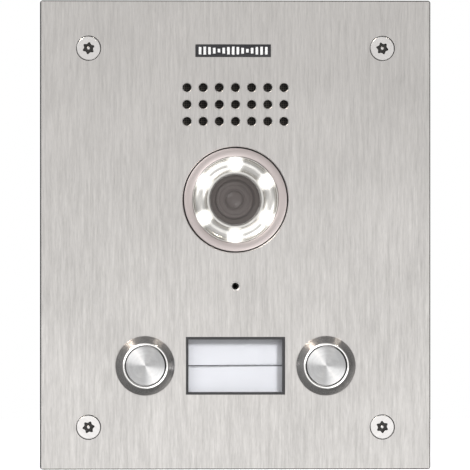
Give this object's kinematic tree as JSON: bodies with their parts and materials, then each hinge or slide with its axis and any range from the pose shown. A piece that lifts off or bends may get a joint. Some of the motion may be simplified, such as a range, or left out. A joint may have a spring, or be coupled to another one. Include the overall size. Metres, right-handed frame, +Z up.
{
  "type": "door intercom panel",
  "caption": "Flush brushed steel door station with a camera ringed by lamps, loudspeaker grille, microphone, call buttons beside a lit name card window, and security screws.",
  "frame": {"origin": "centre of the rectangle of the four fixing screws, on the wall plane that the rear seal meets", "axes": "+Z up the plate, +X to the right seen from the front, +Y into the wall, so the front faces -Y"},
  "size_m": [0.18, 0.0572, 0.216],
  "materials": {
    "brushed_plate": "fine upright grain",
    "badge_black": "satin",
    "screw_steel": "bright, turned",
    "retainer_nylon": "moulded",
    "seal_foam": "closed-cell foam",
    "stud_steel": "drawn",
    "zinc_nut": "zinc plated",
    "mesh_black": "woven wire, painted",
    "speaker_foam": "soft foam",
    "basket_steel": "black passivated",
    "surround_rubber": "moulded",
    "cone_paper": "pulp",
    "magnet_nickel": "nickel plated",
    "mic_rubber": "moulded",
    "mic_can": "drawn can",
    "bezel_satin": "satin metallic",
    "reflector_chrome": "vacuum plated",
    "circuit_green": "solder mask",
    "lamp_clear": "clear epoxy, lit",
    "smoked_window": "smoked, polished",
    "shroud_matt": "matt",
    "cradle_grey": "moulded",
    "pod_black": "moulded",
    "barrel_black": "black anodised",
    "lens_coated": "coated",
    "case_black": "fine texture",
    "cover_screw_zinc": "zinc plated",
    "part_black": "moulded",
    "relay_blue": "moulded",
    "connector_ivory": "moulded nylon",
    "terminal_green": "moulded",
    "terminal_steel": "nickel plated",
    "trimmer_blue": "moulded",
    "trimmer_white": "moulded",
    "holder_black": "moulded",
    "cover_clear": "clear, polished",
    "card_white": "smooth",
    "diffuser_opal": "opal",
    "seal_rubber": "moulded",
    "nut_steel": "machined",
    "button_steel": "turned",
    "switch_black": "moulded",
    "spring_wire": "drawn wire",
    "wire_red": "soft PVC",
    "wire_yellow": "soft PVC"
  },
  "bodies": {
    "panel": {"front_plate": "brushed_plate", "name_badge": "badge_black", "fixing_screws": "screw_steel", "screw_retainers": "retainer_nylon", "plate_gasket": "seal_foam", "weld_studs": "stud_steel", "stud_nuts": "zinc_nut", "speaker_mesh": "mesh_black", "speaker_gasket": "speaker_foam", "speaker_frame": "basket_steel", "speaker_surround": "surround_rubber", "speaker_magnet": "magnet_nickel", "microphone_boot": "mic_rubber", "microphone_capsule": "mic_can", "camera_bezel": "bezel_satin", "led_reflector": "reflector_chrome", "led_ring_board": "circuit_green", "ring_leds": "lamp_clear", "lens_window": "smoked_window", "lens_shroud": "shroud_matt", "camera_cradle": "cradle_grey", "module_case": "case_black", "module_rear_cover": "case_black", "rear_cover_screws": "cover_screw_zinc", "main_board": "circuit_green", "board_parts": "part_black", "lock_relay": "relay_blue", "board_headers": "connector_ivory", "wire_plugs": "connector_ivory", "terminal_socket": "terminal_green", "terminal_plug": "terminal_green", "terminal_screws": "terminal_steel", "trimmer_bases": "trimmer_blue", "card_holder": "holder_black", "card_cover": "cover_clear", "upper_name_card": "card_white", "lower_name_card": "card_white", "card_diffuser": "diffuser_opal", "card_light_board": "circuit_green", "button_seals": "seal_rubber", "button_nuts": "nut_steel", "left_button_housing": "button_steel", "left_button_switch": "switch_black", "left_button_spring": "spring_wire", "right_button_housing": "button_steel", "right_button_switch": "switch_black", "right_button_spring": "spring_wire", "button_wires": "wire_red", "card_light_wires": "wire_yellow"},
    "left_button": {"left_button_cap": "button_steel"},
    "right_button": {"right_button_cap": "button_steel"},
    "camera_yoke": {"camera_gimbal": "cradle_grey"},
    "camera_pod": {"camera_body": "pod_black", "lens_barrel": "barrel_black", "lens_glass": "lens_coated", "camera_board": "circuit_green"},
    "speaker_diaphragm": {"speaker_cone": "cone_paper"},
    "speaker_volume": {"speaker_trimmer": "trimmer_white"},
    "microphone_volume": {"microphone_trimmer": "trimmer_white"}
  },
  "joints": [
    {"name": "left_button_press", "type": "slide", "parent": "panel", "child": "left_button", "axis": [0, 1, 0], "range_m": [0, 0.0015], "stiffness_N_per_m": 1500, "springref_m": -0.001, "deforming": ["left_button_spring"]},
    {"name": "right_button_press", "type": "slide", "parent": "panel", "child": "right_button", "axis": [0, 1, 0], "range_m": [0, 0.0015], "stiffness_N_per_m": 1500, "springref_m": -0.001, "deforming": ["right_button_spring"]},
    {"name": "camera_pan", "type": "hinge", "parent": "panel", "child": "camera_yoke", "pos_m": [0, 0.011, 0.0175], "axis": [0, 0, 1], "range_deg": [-8, 8]},
    {"name": "camera_tilt", "type": "hinge", "parent": "camera_yoke", "child": "camera_pod", "pos_m": [0, 0.011, 0.0175], "axis": [1, 0, 0], "range_deg": [-8, 8]},
    {"name": "speaker_cone_stroke", "type": "slide", "parent": "panel", "child": "speaker_diaphragm", "axis": [0, 1, 0], "range_m": [-0.0005, 0.0005], "stiffness_N_per_m": 1000},
    {"name": "speaker_volume_turn", "type": "hinge", "parent": "panel", "child": "speaker_volume", "pos_m": [-0.036, 0.031, -0.00275], "axis": [0, 1, 0], "range_deg": [-135, 135]},
    {"name": "microphone_volume_turn", "type": "hinge", "parent": "panel", "child": "microphone_volume", "pos_m": [0.036, 0.031, -0.00275], "axis": [0, 1, 0], "range_deg": [-135, 135]}
  ]
}
